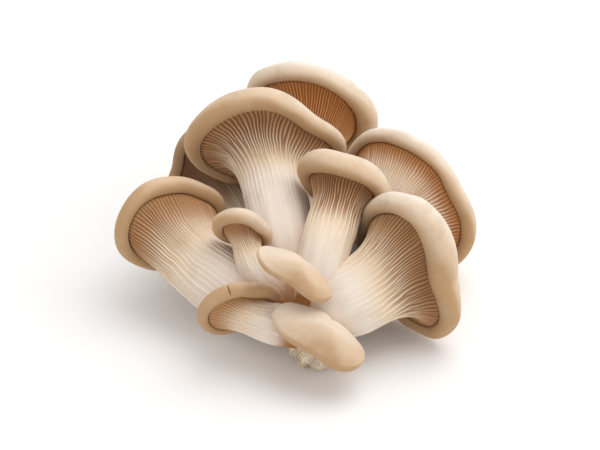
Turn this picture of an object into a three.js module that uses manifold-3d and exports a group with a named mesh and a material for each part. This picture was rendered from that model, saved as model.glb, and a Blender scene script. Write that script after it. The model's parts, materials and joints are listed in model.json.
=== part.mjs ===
// Oyster mushroom cluster: eleven mushrooms of different ages grown out of one torn base.
// The cluster lies on its side, so its gills face a viewer who looks down on it from the front.
// It is drawn in that viewer's frame (x right, y up, z towards the viewer) and then laid back.
import * as THREE from 'three';
import { mergeVertices } from 'three/addons/utils/BufferGeometryUtils.js';
import Module from 'manifold-3d';

const wasm = await Module();
wasm.setup();

// Driving dimensions, in millimetres and degrees.
const VIEW_ELEVATION = 38;
const GROUND_DEPTH = 26;
const GAP = 0.3;
const HIDDEN_GAP = 1.2;
const KEEP_OUT = 0.45;
const GILL_HEIGHT = 1.5;
const BASE = { centre: [7, -4, -15], radii: [11.5, 13, 13], rows: 11, columns: 20, tear: 0.08 };

// The rolled rim: 0 degrees points outwards, 90 to the top and -90 to the gill side.
const INNER_EDGE = -210;
const HIDDEN_FACE = -180;
const GROOVE = -150;
const RIM_ROUND = [INNER_EDGE, HIDDEN_FACE, GROOVE, -105, -55, -5];
const RIM_TOP = 55;

// How the curves bend, as shares of their length.
const SHOULDER_IN = 0.3;
const SHOULDER_UP = 0.55;
const CROWN_LEVEL = 0.45;
const FLARE_PULL = 0.45;
const FUNNEL = 0.65;
const GILLS_FULL_AT = 0.4;
const GILLS_END_AT = 0.8;

const DOME_STEPS = 5;
const UNDERSIDE_STEPS = 2;
const STALK_STEPS = 3;
const FLARE_STEPS = 6;
const TINY_TURN = 0.001;
const TINY_SHARE = 0.01;
const GROUND_SIZE = 400;

const CAP_SKIN = { color: 0xc9aa84, roughness: 0.62, metalness: 0 };
const GILL_FLESH = { color: 0xe9d9c3, roughness: 0.72, metalness: 0 };
const TORN_FLESH = { color: 0xe3d3bb, roughness: 0.9, metalness: 0 };

// Each mushroom: a stem bent from root to heart, and a cap whose rolled rim is given by its reach
// from the centre and its lift along the axis, at equal turns that start on the side nearest the viewer.
const MUSHROOMS = [
  {
    name: 'front', sides: 12, slim: 0.45, near: [-0.86, 0.5, 0], rimTop: 25,
    gillHeight: 0.1, hiddenGap: 0.35, funnel: [1],
    root: [3, -10, 8], bend: [5, -13, 11], heart: [7, -14, 14],
    rootRadius: 5, neckRadius: 1, neckAt: 0.5,
    centre: [7, -14.2, 15.5], axis: [0.4, 0.62, 0.67], crown: 10, flesh: 3.5,
    reach: [17, 14, 8.8, 6.8, 6.2, 6.8, 8.8, 14.5, 17.5, 14.8, 7.8, 4.7, 5, 7, 9.8, 14.5],
    roll: [3.4], lift: [0],
  },
  {
    name: 'folded', sides: 12, slim: 0.33, near: [-0.86, 0.5, 0], rimTop: 25,
    gillHeight: 0.1, hiddenGap: 0.35, funnel: [1],
    root: [1, -2, 8], bend: [0, 5, 13], heart: [-2, 9, 18],
    rootRadius: 4, neckRadius: 0.8, neckAt: 0.5,
    centre: [-2, 10.5, 22], axis: [0.47, 0.7, 0.54], crown: 6.5, flesh: 3,
    reach: [14.5, 12, 6.8, 4.4, 3.7, 4.4, 6.8, 12, 14.5, 12, 6.8, 4.4, 3.7, 4.4, 6.8, 12],
    roll: [2.5], lift: [0],
  },
  {
    name: 'front_left', sides: 12,
    root: [0, -12, 2], bend: [-12, -10, 7], heart: [-22, -4, 6],
    rootRadius: 7.5, neckRadius: 8.3, neckAt: 0.4,
    centre: [-23.5, -2, 5], axis: [-0.4, 0.75, -0.53], crown: 7, flesh: 3.5,
    reach: [12.8, 9.6, 13.2, 13.5, 13, 15.4, 16, 16.6],
    roll: [3, 3, 2.8, 2.4, 2, 1.9, 1.9, 2.6], lift: [0, -0.5, -2, -1.5, 0, 0, 0, 0],
  },
  {
    name: 'button', sides: 12,
    root: [0, -6, -5], bend: [-20, 9, 5], heart: [-22.5, 26, 2],
    rootRadius: 6, neckRadius: 6.5, neckAt: 0.6,
    centre: [-23.5, 28, 0.5], axis: [0.12, 0.9, -0.42], crown: 6, flesh: 3,
    reach: [12.6, 9.3, 10.2, 12, 10.5, 9.8, 9.2, 10.8],
    roll: [2.8, 2.6, 2.4, 2.2, 2.2, 2.2, 2.4, 2.7], lift: [0],
  },
  {
    name: 'right', sides: 16,
    funnel: [0.8, 0.7, 0.5, 0.2, 0.2, 0.5, 0.7, 0.8],
    root: [6, -7, 1], bend: [24, 1, 2], heart: [41, 12, -1],
    rootRadius: 11.5, neckRadius: 15, neckAt: 0.45,
    centre: [43.5, 15.3, -4], axis: [0.68, 0.48, -0.555], crown: 10, flesh: 5,
    reach: [23.9, 19.9, 18.6, 22.3, 28.6, 32, 31, 29.5, 27.5, 26, 24.5, 23.8, 25.3, 26.8, 28.5, 28.5],
    roll: [6, 6.2, 5.9, 5.2, 4.2, 3.4, 3, 3, 3, 3, 3, 3.2, 3.6, 4.2, 5, 5.6], lift: [0],
  },
  {
    name: 'middle', sides: 14,
    root: [4, -5, 0], bend: [10, 24, 3], heart: [17.5, 44, -10],
    rootRadius: 9, neckRadius: 10.3, neckAt: 0.6,
    centre: [17, 46, -12], axis: [0.27, 0.82, -0.5], crown: 9, flesh: 5,
    reach: [15.8, 16.6, 17.2, 17, 16.7, 14.4, 16, 16.5],
    roll: [4.9, 4.5, 3.6, 3, 2.8, 2.6, 3.2, 4.7], lift: [0, 0.5, 0, -0.5, -1, -0.5, 1, 0.5],
  },
  {
    name: 'left', sides: 16,
    funnel: [0.65, 0.6, 0.65, 0.8, 0.9, 1, 1, 0.9],
    root: [-1, -7, -5], bend: [-31, 0, -8], heart: [-48, 25, -20],
    rootRadius: 10.5, neckRadius: 14.5, neckAt: 0.47,
    centre: [-52.5, 29.5, -23.5], axis: [-0.66, 0.43, -0.62], crown: 10, flesh: 5,
    reach: [24.9, 19.9, 18.1, 22, 19, 17.5, 18, 22.9],
    roll: [3.4, 3.4, 3, 2.6, 2.4, 2.2, 2.3, 2.9], lift: [2.5, 0, -1.5, -3.5, -2, -0.5, 1, 3.5],
  },
  {
    name: 'tall', sides: 18,
    funnel: [0.3, 0.6, 0.6, 0.3, 0.1, 0.05, 0.05, 0.15],
    root: [1, -6, -4], bend: [-7, 26, -12], heart: [-13, 56, -38],
    rootRadius: 11, neckRadius: 13, neckAt: 0.78,
    centre: [-13.5, 60, -42], axis: [-0.12, 0.84, -0.53], crown: 13, flesh: 5,
    reach: [36.2, 27, 29.8, 29.2, 25.7, 21.5, 28.8, 34.8],
    roll: [4.8, 4, 3.4, 3, 2.8, 2.6, 3, 4.4], lift: [2.5, -1, -2, -1.5, -1, -0.5, 1.5, 2],
  },
  {
    name: 'right_rear', sides: 16,
    root: [6, -4, -9], bend: [20, 16, -25], heart: [38, 36, -42],
    rootRadius: 8, neckRadius: 9, neckAt: 0.55,
    centre: [44, 42.5, -46.5], axis: [0.62, 0.45, -0.64], crown: 9, flesh: 5,
    reach: [28, 27.5, 31.3, 33.2, 33, 30.3, 27.9, 27.5, 27.9, 28.4, 28.9, 29.2, 28.8, 27.5, 26.3, 26.8],
    roll: [3.2, 3.1, 2.8, 2.6, 2.6, 2.6, 2.8, 3], lift: [0],
  },
  {
    name: 'left_rear', sides: 12,
    root: [-1, -1, -12], bend: [-16, 28, -50], heart: [-34, 50, -68],
    rootRadius: 7, neckRadius: 8, neckAt: 0.6,
    centre: [-39, 57.5, -70], axis: [-0.6, 0.6, -0.5], crown: 8, flesh: 5,
    reach: [20.5, 21, 20.4, 21.4, 23, 26.5, 22, 16.5],
    roll: [2.4], lift: [2, 1, 0, 0, 0, 0, 0, 0.5],
  },
  {
    name: 'rear', sides: 14,
    root: [3, -2, -14], bend: [4, 28, -62], heart: [3, 70, -74],
    rootRadius: 8, neckRadius: 9, neckAt: 0.6,
    centre: [5, 78, -78], axis: [0.3, 0.75, -0.58], crown: 11, flesh: 5,
    reach: [25.2, 25.2, 23.6, 22.8, 22.5, 24.5, 26.6, 25.2],
    roll: [4.2, 4.6, 4.2, 3.4, 3, 3, 3.4, 3.9], lift: [0.5, 0.5, 0, 0, 0, 0, 0.5, 0],
  },
];

const TOWARDS_VIEWER = [0, 0, 1];
const vector = (list) => new THREE.Vector3(...list);
const radians = THREE.MathUtils.degToRad;
const range = (count) => Array.from({ length: count }, (_, index) => index);

// A smooth closed curve through values spread evenly over one turn.
function aroundTurn(values, turn) {
  const count = values.length;
  const place = THREE.MathUtils.euclideanModulo(turn / (2 * Math.PI), 1) * count;
  const first = Math.floor(place);
  const f = place - first;
  const [a, b, c, d] = [-1, 0, 1, 2].map((step) => values[(first + step + count) % count]);
  const bend = (2 * a - 5 * b + 4 * c - d) * f + (3 * b - a - 3 * c + d) * f * f;
  return 0.5 * (2 * b + (c - a) * f + bend * f);
}

function across(direction, axis) {
  return direction.clone().addScaledVector(axis, -direction.dot(axis)).normalize();
}

class Mushroom {
  constructor(spec) {
    const usual = { slim: 1, near: TOWARDS_VIEWER, rimTop: RIM_TOP, funnel: [FUNNEL] };
    Object.assign(this, usual, { gillHeight: GILL_HEIGHT, hiddenGap: HIDDEN_GAP }, spec);
    this.up = vector(spec.axis).normalize();
    this.toNear = across(vector(this.near), this.up);
    this.toRight = this.up.clone().cross(this.toNear);
    this.middle = vector(spec.centre);
    this.stalk = new THREE.QuadraticBezierCurve3(vector(spec.root), vector(spec.bend), vector(spec.heart));
    this.top = this.middle.clone().addScaledVector(this.up, spec.crown);
  }

  // Columns are spread evenly round the rim, also where a slim cap is much longer than it is wide.
  turnAt(share) {
    const angle = 2 * Math.PI * share;
    return Math.atan2(this.slim * Math.sin(angle), Math.cos(angle));
  }

  rim(turn) {
    const reach = aroundTurn(this.reach, turn);
    return this.middle.clone()
      .addScaledVector(this.toNear, reach * Math.cos(turn))
      .addScaledVector(this.toRight, reach * Math.sin(turn))
      .addScaledVector(this.up, aroundTurn(this.lift, turn));
  }

  outwards(turn) {
    return this.alongRim(turn).cross(this.towardsTop(turn));
  }

  towardsTop(turn) {
    return across(this.up, this.alongRim(turn));
  }

  alongRim(turn) {
    return this.rim(turn + TINY_TURN).sub(this.rim(turn - TINY_TURN)).normalize();
  }

  // A point on the rolled rim, or at a clearance from it.
  roundRim(turn, degrees, clearance = 0) {
    const radius = aroundTurn(this.roll, turn) + clearance;
    return this.rim(turn)
      .addScaledVector(this.outwards(turn), radius * Math.cos(radians(degrees)))
      .addScaledVector(this.towardsTop(turn), radius * Math.sin(radians(degrees)));
  }

  // The curve from a point on the rim to a pole on the axis, steep at the rim and level at the pole.
  toPole(start, pole, share) {
    const span = pole.clone().sub(start);
    const height = span.dot(this.up);
    const flat = span.addScaledVector(this.up, -height);
    const shoulder = start.clone().addScaledVector(flat, SHOULDER_IN)
      .addScaledVector(this.up, SHOULDER_UP * height);
    const level = pole.clone().addScaledVector(flat, -CROWN_LEVEL);
    return new THREE.CubicBezierCurve3(start, shoulder, level, pole).getPoint(share);
  }

  underPole() {
    return this.top.clone().addScaledVector(this.up, -this.flesh);
  }

  underside(turn, share) {
    return this.toPole(this.roundRim(turn, INNER_EDGE), this.underPole(), share);
  }

  stalkRing(turn, share, radius) {
    const along = this.stalk.getTangent(share);
    const near = across(this.toNear, along);
    return this.stalk.getPoint(share)
      .addScaledVector(near, radius * Math.cos(turn))
      .addScaledVector(along.clone().cross(near), radius * Math.sin(turn));
  }

  stalkRadius(share) {
    return THREE.MathUtils.lerp(this.rootRadius, this.neckRadius, THREE.MathUtils.smoothstep(share, 0, 1));
  }

  // The gill surface: from the neck of the stem it opens out to the groove inside the rim.
  // It arrives there level with the rim on a hollow cap and straight from the neck on a funnel.
  flare(turn, share) {
    const start = this.stalkRing(turn, this.neckAt, this.neckRadius);
    const end = this.roundRim(turn, GROOVE, GAP);
    const length = FLARE_PULL * start.distanceTo(end);
    const straight = end.clone().sub(start).normalize();
    const arriving = this.outwards(turn).lerp(straight, aroundTurn(this.funnel, turn)).normalize();
    const rise = start.clone().addScaledVector(this.stalk.getTangent(this.neckAt), length);
    const arrive = end.clone().addScaledVector(arriving, -length);
    return new THREE.CubicBezierCurve3(start, rise, arrive, end).getPoint(share);
  }

  flareNormal(turn, share) {
    const low = Math.max(share - TINY_SHARE, 0);
    const high = Math.min(share + TINY_SHARE, 1);
    const around = this.flare(turn + TINY_TURN, share).sub(this.flare(turn - TINY_TURN, share));
    const upwards = this.flare(turn, high).sub(this.flare(turn, low));
    return around.cross(upwards).normalize();
  }

  capGeometry() {
    const turns = range(this.sides).map((side) => this.turnAt(side / this.sides));
    const rows = [];
    for (const step of range(UNDERSIDE_STEPS - 1).reverse()) {
      rows.push(turns.map((turn) => this.underside(turn, (step + 1) / UNDERSIDE_STEPS)));
    }
    for (const degrees of [...RIM_ROUND, this.rimTop / 2, this.rimTop]) {
      rows.push(turns.map((turn) => this.roundRim(turn, degrees)));
    }
    for (const step of range(DOME_STEPS - 1)) {
      const share = (step + 1) / DOME_STEPS;
      rows.push(turns.map((turn) => this.toPole(this.roundRim(turn, this.rimTop), this.top, share)));
    }
    return skin(this.underPole(), rows, this.top);
  }

  // Gill crests lie midway between the cap's columns, where the groove row is a straight chord.
  // Without valleys the stem is its own plain envelope, level with the crests.
  stemGeometry(hasValleys = true) {
    const columns = range(hasValleys ? 2 * this.sides : this.sides);
    const turnOf = (column) => this.turnAt(column / columns.length);
    const isMidway = (column) => hasValleys && column % 2 === 1;
    const chordRow = (at) => columns.map((column) => {
      if (!isMidway(column)) return at(turnOf(column));
      return at(turnOf(column - 1)).add(at(turnOf(column + 1))).multiplyScalar(0.5);
    });
    const rows = [];
    for (const step of range(STALK_STEPS)) {
      const share = step / STALK_STEPS;
      const radius = this.stalkRadius(share);
      rows.push(columns.map((column) => this.stalkRing(turnOf(column), share * this.neckAt, radius)));
    }
    for (const step of range(FLARE_STEPS)) {
      const share = step / FLARE_STEPS;
      const chords = chordRow((turn) => this.flare(turn, share));
      rows.push(columns.map((column) => {
        const isCrest = isMidway(column) || !hasValleys;
        return this.gillPoint(turnOf(column), share, isCrest, chords[column]);
      }));
    }
    rows.push(chordRow((turn) => this.roundRim(turn, GROOVE, GAP)));
    rows.push(chordRow((turn) => this.roundRim(turn, HIDDEN_FACE, this.hiddenGap)));
    for (const step of range(UNDERSIDE_STEPS - 1)) {
      const share = (step + 1) / UNDERSIDE_STEPS;
      rows.push(chordRow((turn) => this.underside(turn, share).addScaledVector(this.up, -this.hiddenGap)));
    }
    return skin(this.stalk.getPoint(0), rows, this.underPole().addScaledVector(this.up, -this.hiddenGap));
  }

  gillPoint(turn, share, isCrest, chord) {
    const nearRim = THREE.MathUtils.smoothstep(share, GILLS_END_AT, 1);
    const point = this.flare(turn, share).lerp(chord, nearRim);
    const height = this.gillHeight * THREE.MathUtils.smoothstep(share, 0, GILLS_FULL_AT) * (1 - nearRim);
    return isCrest ? point.addScaledVector(this.flareNormal(turn, share), height) : point;
  }
}

// A closed skin from a first pole through rings of points to a last pole.
function skin(firstPole, rows, lastPole) {
  const width = rows[0].length;
  const points = [firstPole, ...rows.flat(), lastPole];
  const triangles = [];
  const at = (row, column) => 1 + row * width + (column % width);
  const last = points.length - 1;
  for (const column of range(width)) {
    triangles.push(0, at(0, column + 1), at(0, column));
    for (const row of range(rows.length - 1)) {
      const [a, b] = [at(row, column), at(row, column + 1)];
      const [c, d] = [at(row + 1, column + 1), at(row + 1, column)];
      triangles.push(a, b, c, a, c, d);
    }
    triangles.push(at(rows.length - 1, column), at(rows.length - 1, column + 1), last);
  }
  const geometry = new THREE.BufferGeometry().setFromPoints(points);
  geometry.setIndex(triangles);
  return geometry;
}

// The turn that lays the viewer's frame down on the ground.
const LAY_BACK = new THREE.Euler(radians(90 - VIEW_ELEVATION), 0, 0);
const STAND_UP = new THREE.Matrix4().makeRotationFromEuler(LAY_BACK).invert();

// The base is a lump of torn flesh, ragged all over and flat where it lies on the ground.
function baseGeometry() {
  const [middle, radii] = [vector(BASE.centre), vector(BASE.radii)];
  const pointAt = (turn, slope) => {
    const ragged = Math.sin(5 * turn + 2 * slope) * Math.cos(4 * slope) + Math.sin(9 * turn - 5 * slope);
    const swell = 1 + BASE.tear * ragged * Math.cos(slope);
    const place = new THREE.Vector3(Math.cos(turn) * Math.cos(slope), Math.sin(turn) * Math.cos(slope),
      Math.sin(slope));
    return place.multiplyScalar(swell).multiply(radii).add(middle);
  };
  const rows = range(BASE.rows - 1).map((row) => {
    const slope = ((row + 1) / BASE.rows - 0.5) * Math.PI;
    return range(BASE.columns).map((column) => pointAt((column / BASE.columns) * 2 * Math.PI, slope));
  });
  const pole = new THREE.Vector3(0, 0, radii.z);
  return skin(middle.clone().sub(pole), rows, middle.clone().add(pole)).applyMatrix4(STAND_UP);
}

function groundGeometry() {
  const slab = new THREE.BoxGeometry(GROUND_SIZE, GROUND_SIZE, GROUND_SIZE);
  slab.translate(0, 0, -GROUND_DEPTH - GROUND_SIZE / 2);
  return slab.applyMatrix4(STAND_UP);
}

function toSolid(source) {
  const geometry = source.clone();
  geometry.deleteAttribute('normal');
  geometry.deleteAttribute('uv');
  const merged = mergeVertices(geometry, 1e-5);
  const vertProperties = new Float32Array(merged.getAttribute('position').array);
  const triVerts = new Uint32Array(merged.getIndex().array);
  return new wasm.Manifold(new wasm.Mesh({ numProp: 3, vertProperties, triVerts }));
}

function toGeometry(solid) {
  const { vertProperties, triVerts } = solid.getMesh();
  const geometry = new THREE.BufferGeometry();
  geometry.setAttribute('position', new THREE.BufferAttribute(vertProperties, 3));
  geometry.setIndex(new THREE.BufferAttribute(triVerts, 1));
  geometry.computeVertexNormals();
  return geometry;
}

// The same shape grown outwards by the clearance that neighbours keep from it.
function grown(source) {
  const geometry = source.clone();
  geometry.computeVertexNormals();
  const [place, normal] = [geometry.getAttribute('position'), geometry.getAttribute('normal')];
  for (const index of range(place.count)) {
    const moved = new THREE.Vector3().fromBufferAttribute(place, index)
      .addScaledVector(new THREE.Vector3().fromBufferAttribute(normal, index), KEEP_OUT);
    place.setXYZ(index, moved.x, moved.y, moved.z);
  }
  return geometry;
}

const cluster = new THREE.Group();
cluster.rotation.copy(LAY_BACK);
const taken = [];
const ground = toSolid(groundGeometry());

// Settles a piece among those already placed: it gives way where they press into it.
// A stem follows its own cap at the gap all over, so it gives way there only if the cap is too narrow.
function place(name, owner, geometry, finish, envelope = geometry) {
  let solid = toSolid(geometry).subtract(ground);
  for (const other of taken) {
    const follows = other.owner === owner && solid.intersect(other.exact).isEmpty();
    if (!follows) solid = solid.subtract(other.grown);
  }
  const bodies = solid.decompose().sort((one, two) => two.volume() - one.volume());
  const mesh = new THREE.Mesh(toGeometry(bodies[0]), new THREE.MeshStandardMaterial(finish));
  mesh.name = name;
  cluster.add(mesh);
  taken.push({ owner, exact: toSolid(geometry), grown: toSolid(grown(envelope)) });
}

const mushrooms = MUSHROOMS.map((spec) => new Mushroom(spec));
for (const mushroom of mushrooms) {
  place(`cap_${mushroom.name}`, mushroom.name, mushroom.capGeometry(), CAP_SKIN);
}
place('base', 'base', baseGeometry(), TORN_FLESH);
for (const mushroom of mushrooms) {
  const stem = mushroom.stemGeometry();
  const envelope = mushroom.slim < 1 ? stem : mushroom.stemGeometry(false);
  place(`stem_${mushroom.name}`, mushroom.name, stem, GILL_FLESH, envelope);
}

// The origin is on the ground, under the middle of the cluster.
const part = new THREE.Group();
part.add(cluster);
part.updateMatrixWorld(true);
const box = new THREE.Box3().setFromObject(cluster, true);
cluster.position.set(-(box.min.x + box.max.x) / 2, -(box.min.y + box.max.y) / 2, -box.min.z);

export default part;
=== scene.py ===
"""Oyster mushroom cluster: tan caps, gilled cream stems and a torn base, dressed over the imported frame."""

from __future__ import annotations

import json
import logging
import math
from dataclasses import dataclass
from enum import Enum
from typing import Any, Sequence

import bpy
import numpy as np
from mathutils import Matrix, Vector


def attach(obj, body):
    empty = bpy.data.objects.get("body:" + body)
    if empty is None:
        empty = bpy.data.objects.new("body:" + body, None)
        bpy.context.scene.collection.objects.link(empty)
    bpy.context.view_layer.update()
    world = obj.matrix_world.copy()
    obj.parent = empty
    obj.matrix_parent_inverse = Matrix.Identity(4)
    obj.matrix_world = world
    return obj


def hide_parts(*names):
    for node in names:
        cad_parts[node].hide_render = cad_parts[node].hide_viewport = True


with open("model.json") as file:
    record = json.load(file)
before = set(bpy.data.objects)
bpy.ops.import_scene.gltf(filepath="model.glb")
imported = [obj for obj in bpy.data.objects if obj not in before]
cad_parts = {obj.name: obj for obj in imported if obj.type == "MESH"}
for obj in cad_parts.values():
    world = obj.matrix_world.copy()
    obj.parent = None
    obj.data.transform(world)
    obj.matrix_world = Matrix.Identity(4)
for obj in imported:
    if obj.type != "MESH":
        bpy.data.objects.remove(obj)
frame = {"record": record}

LOG = logging.getLogger("oyster_cluster")
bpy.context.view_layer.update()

# Lengths are in millimetres and in the drawing's frame, with x right, y up and z to the viewer.
MM = 0.001
FULL_TURN = 2 * math.pi
TINY_TURN = 0.001
VIEW_ELEVATION = math.radians(38)
GROUND_DEPTH = 26.0
GAP = 0.05
HIDDEN_GAP = 1.2
BASE_CENTRE = (7.0, -4.0, -15.0)
BASE_RADII = (11.5, 13.0, 13.0)
BASE_TEAR = 0.08

# Painted light and shade on the caps: the direction that they are painted paler towards, and the direction of
# the end that they are painted darker towards.
PAINTED_LIGHT_FROM = np.array([0.59, 0.75, -0.3])
PAINTED_SHADE_TOWARD = np.array([0.35, -0.94, 0.0])

# The rolled rim, in degrees: 0 points outwards, 90 to the top and -90 to the gill side.
INNER_EDGE = -210.0
HIDDEN_FACE = -180.0
GROOVE = -150.0
RIM_TOP = 55.0

# How the curves bend, as shares of their length.
SHOULDER_IN = 0.3
SHOULDER_UP = 0.55
CROWN_LEVEL = 0.45
FLARE_PULL = 0.45
FUNNEL = 0.65

# Gills along their run: -1 at the root, 0 at the stem's neck and 1 at the rim.
LONG_GILL_START = -0.9
SHORT_GILL_DELAY = 1.05
SHORT_GILL_SPREAD = 0.45
GILL_START_LENGTH = 0.25
GILL_RISE = (-0.35, 0.6)
GILL_FALL = (0.94, 1.0, 1.0, 0.2)
LEAST_HEIGHT = 0.6
HEIGHT_SPREAD = 0.55

# One frayed fibre: a thin cone, with few faces because there are many.
FIBRE_SIDES = 5
FIBRE_STEPS = 3
FIBRE_TIP = 0.15
FIBRE_LEAN = 0.9
FIBRE_SCALE = (0.4, 1.3)

# The nodes that both the materials and the shapes are worked out with.
MATH = "ShaderNodeMath"
NOISE = "ShaderNodeTexNoise"
NOISE_MEAN = 0.5
SPAN = "ShaderNodeMapRange"
SPAN_LIMITS = ("From Min", "From Max", "To Min", "To Max")

Point = tuple[float, float, float]
Colour = tuple[float, float, float, float]


class Slot(Enum):
    """The record's material slots."""

    CAP = "cap_skin"
    GILL = "gill_flesh"
    TORN = "torn_flesh"


def linear(hex_colour: str) -> Colour:
    """Turns an sRGB hex colour into linear RGBA.

    Args:
        hex_colour: Six hex digits after a hash sign.

    Returns:
        Linear red, green and blue, with full alpha.
    """
    parts = [int(hex_colour[i:i + 2], 16) / 255 for i in (1, 3, 5)]
    red, green, blue = (c / 12.92 if c <= 0.04045 else ((c + 0.055) / 1.055) ** 2.4 for c in parts)
    return red, green, blue, 1.0


def add_node(
    tree: bpy.types.NodeTree,
    kind: str,
    inputs: dict[Any, Any] | Sequence[Any] = (),
    **settings: Any,
) -> bpy.types.Node:
    """Adds a node with its settings, and sets or links its inputs.

    Args:
        tree: The node tree that gets the node.
        kind: The node's type name.
        inputs: What each input gets, by name or number or in order: a value, an output socket, or a node whose
            first output is meant.
        **settings: The node's own properties.

    Returns:
        The new node.
    """
    node = tree.nodes.new(kind)
    for name, value in settings.items():
        setattr(node, name, value)
    for key, value in inputs.items() if isinstance(inputs, dict) else enumerate(inputs):
        source = value.outputs[0] if isinstance(value, bpy.types.Node) else value
        if isinstance(source, bpy.types.NodeSocket):
            tree.links.new(source, node.inputs[key])
        else:
            node.inputs[key].default_value = source
    return node


def unit(vectors: np.ndarray) -> np.ndarray:
    """Scales vectors to length one."""
    return vectors / np.linalg.norm(vectors, axis=-1, keepdims=True)


def smooth(values: np.ndarray, low: float, high: float) -> np.ndarray:
    """Rises smoothly from 0 at low to 1 at high."""
    share = np.clip((values - low) / (high - low), 0, 1)
    return share * share * (3 - 2 * share)


def around_turn(values: Sequence[float], turns: np.ndarray) -> np.ndarray:
    """Reads a smooth closed curve through values spread evenly over one turn.

    Args:
        values: The values at equal steps of the turn.
        turns: Angles in radians.

    Returns:
        The curve's value at each angle.
    """
    knots = np.asarray(values, float)
    count = len(knots)
    place = (turns / FULL_TURN) % 1.0 * count
    first = np.floor(place).astype(int)
    f = place - first
    a, b, c, d = (knots[(first + step) % count] for step in (-1, 0, 1, 2))
    bend = (2 * a - 5 * b + 4 * c - d) * f + (3 * b - a - 3 * c + d) * f * f
    return 0.5 * (2 * b + (c - a) * f + bend * f)


def name_number(name: str) -> int:
    """Gives a number that is always the same for one name."""
    return sum(map(ord, name))


def bezier(points: Sequence[np.ndarray], share: float) -> np.ndarray:
    """Evaluates cubic Bezier curves, one for each row of the four control arrays, at one share."""
    weights = ((1 - share) ** 3, 3 * (1 - share) ** 2 * share, 3 * (1 - share) * share**2, share**3)
    return sum(weight * point for weight, point in zip(weights, points))


def origin_shift() -> np.ndarray:
    """Finds where the frame puts the drawing's origin, from the base's flat face in the record.

    Returns:
        The shift in metres.
    """
    face = next(m for m in frame["record"]["mounts"] if m["name"] == "lying_face")
    drawn = np.array([BASE_CENTRE[0], BASE_CENTRE[1], -GROUND_DEPTH]) * MM
    return np.array(face["pos_m"]) - drawn


SHIFT = origin_shift()


def laid(points: np.ndarray) -> np.ndarray:
    """Lays points of the drawing down in the frame.

    Args:
        points: Points with x right, y up and z to the viewer, in millimetres.

    Returns:
        The points in metres.
    """
    x, y, z = np.moveaxis(points, -1, 0)
    sine, cosine = math.sin(VIEW_ELEVATION), math.cos(VIEW_ELEVATION)
    return np.stack([x, y * sine - z * cosine, y * cosine + z * sine], -1) * MM + SHIFT


def closed_skin(
    name: str,
    first: np.ndarray,
    rows: np.ndarray,
    last: np.ndarray,
    attributes: dict[str, np.ndarray],
) -> bpy.types.Object:
    """Makes a closed mesh from a pole, rings of points and another pole.

    Args:
        name: The object's name.
        first: The first pole, in metres.
        rows: Points by ring and column, in metres.
        last: The last pole, in metres.
        attributes: Values by ring and column, or one value for all points.

    Returns:
        The new object, smooth shaded, at the origin.
    """
    rings, width = rows.shape[:2]
    points = np.vstack([first[None], rows.reshape(-1, 3), last[None]])
    points[:, 2] = np.maximum(points[:, 2], 0.0)
    index = 1 + np.arange(rings * width).reshape(rings, width)
    turned = np.roll(index, -1, axis=1)
    quads = np.stack([index[:-1], turned[:-1], turned[1:], index[1:]], -1).reshape(-1, 4)
    start = np.stack([np.zeros(width, int), turned[0], index[0]], -1)
    end = np.stack([index[-1], turned[-1], np.full(width, len(points) - 1)], -1)
    mesh = bpy.data.meshes.new(name)
    mesh.from_pydata(points.tolist(), [], quads.tolist() + start.tolist() + end.tolist())
    mesh.shade_smooth()
    for key, values in attributes.items():
        grid = np.asarray(values, float)
        flat = np.full(len(points), float(grid)) if grid.ndim == 0 else None
        if flat is None:
            body = grid.reshape(rings * width, -1)
            ends = [ring.reshape(width, -1).mean(0) for ring in (grid[0], grid[-1])]
            flat = np.vstack([ends[0], body, ends[1]])
        is_vector = flat.ndim == 2 and flat.shape[1] == 3
        layer = mesh.attributes.new(key, "FLOAT_VECTOR" if is_vector else "FLOAT", "POINT")
        layer.data.foreach_set("vector" if is_vector else "value", flat.astype(np.float32).ravel())
    piece = bpy.data.objects.new(name, mesh)
    bpy.context.scene.collection.objects.link(piece)
    return piece


def apply_tree(piece: bpy.types.Object, tree: bpy.types.NodeTree, values: dict[str, Any]) -> None:
    """Runs a Geometry Nodes tree on a piece and keeps the result as its plain mesh.

    Args:
        piece: The object to change.
        tree: The tree to run.
        values: A value for each named input.
    """
    modifier = piece.modifiers.new(tree.name, "NODES")
    modifier.node_group = tree
    for item in tree.interface.items_tree:
        if item.in_out == "INPUT" and item.name in values:
            modifier[item.identifier] = values[item.name]
    graph = bpy.context.evaluated_depsgraph_get()
    made = bpy.data.meshes.new_from_object(
        piece.evaluated_get(graph), preserve_all_data_layers=True, depsgraph=graph
    )
    piece.modifiers.remove(modifier)
    made.name = piece.data.name
    piece.data = made


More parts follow.
